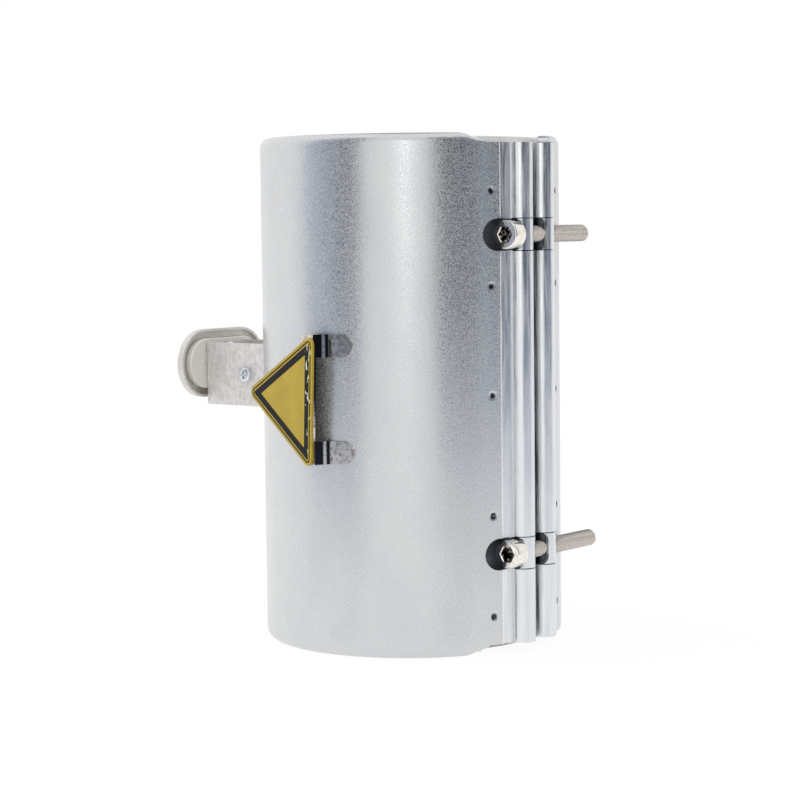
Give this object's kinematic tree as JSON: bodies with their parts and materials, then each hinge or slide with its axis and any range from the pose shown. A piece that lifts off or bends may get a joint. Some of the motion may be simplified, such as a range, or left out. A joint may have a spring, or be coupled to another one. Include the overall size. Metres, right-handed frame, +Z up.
{
  "type": "band heater",
  "caption": "Ceramic tile band heater in a rolled sheet jacket, drawn tight by socket-head screws across a gap, with a stand-off terminal and a plain yellow three-sided plate.",
  "frame": {"origin": "centre of the bore, half way along it", "axes": "+Z up along the bore, +X out through the middle of the clamp gap, +Y towards the side where the screws' ends stand out"},
  "size_m": [0.1626, 0.115, 0.181],
  "materials": {
    "jacket_sheet": "aluminised sheet, fine speckle, satin",
    "strip_sheet": "aluminised sheet, satin",
    "inner_sheet": "stainless sheet, satin",
    "bracket_sheet": "mottled plated sheet, satin",
    "shell_metal": "cast and tumbled, satin",
    "bright_sheet": "bright stainless sheet",
    "screw_steel": "bright nickel plate",
    "bar_steel": "turned steel",
    "plated_steel": "zinc plate",
    "rivet_steel": "plated steel",
    "lead_nickel": "nickel wire",
    "coil_wire": "drawn resistance wire",
    "ceramic": "unglazed steatite",
    "fibre_blanket": "ceramic fibre felt",
    "sign_enamel": "satin yellow enamel with dark border"
  },
  "bodies": {
    "band": {"earth_nut": "plated_steel", "earth_screw": "plated_steel", "foot_rivets": "rivet_steel", "gap_shield": "inner_sheet", "head_side_strip": "strip_sheet", "heating_coil": "coil_wire", "housing_nuts": "plated_steel", "housing_screws": "plated_steel", "insulation_blanket": "fibre_blanket", "lower_head_bar": "bar_steel", "lower_lead_sleeve": "ceramic", "lower_lead_stud": "plated_steel", "lower_lead_wire": "lead_nickel", "lower_nut_bar": "bar_steel", "nut_side_strip": "strip_sheet", "outer_jacket": "jacket_sheet", "sign_bracket": "bright_sheet", "sign_plate": "sign_enamel", "stud_nuts": "plated_steel", "terminal_block": "ceramic", "terminal_bracket": "bracket_sheet", "terminal_shell": "shell_metal", "tile_row_1": "ceramic", "tile_row_2": "ceramic", "tile_row_3": "ceramic", "tile_row_4": "ceramic", "tile_row_5": "ceramic", "tile_row_6": "ceramic", "tile_row_7": "ceramic", "tile_stop": "inner_sheet", "upper_head_bar": "bar_steel", "upper_lead_sleeve": "ceramic", "upper_lead_stud": "plated_steel", "upper_lead_wire": "lead_nickel", "upper_nut_bar": "bar_steel"},
    "lower_screw": {"lower_clamp_screw": "screw_steel"},
    "upper_screw": {"upper_clamp_screw": "screw_steel"}
  },
  "joints": [
    {"name": "lower_screw_turn", "type": "hinge", "parent": "band", "child": "lower_screw", "pos_m": [0.0534, 0, -0.0555], "axis": [0, 1, 0], "continuous": true},
    {"name": "upper_screw_turn", "type": "hinge", "parent": "band", "child": "upper_screw", "pos_m": [0.0534, 0, 0.0555], "axis": [0, 1, 0], "continuous": true}
  ]
}
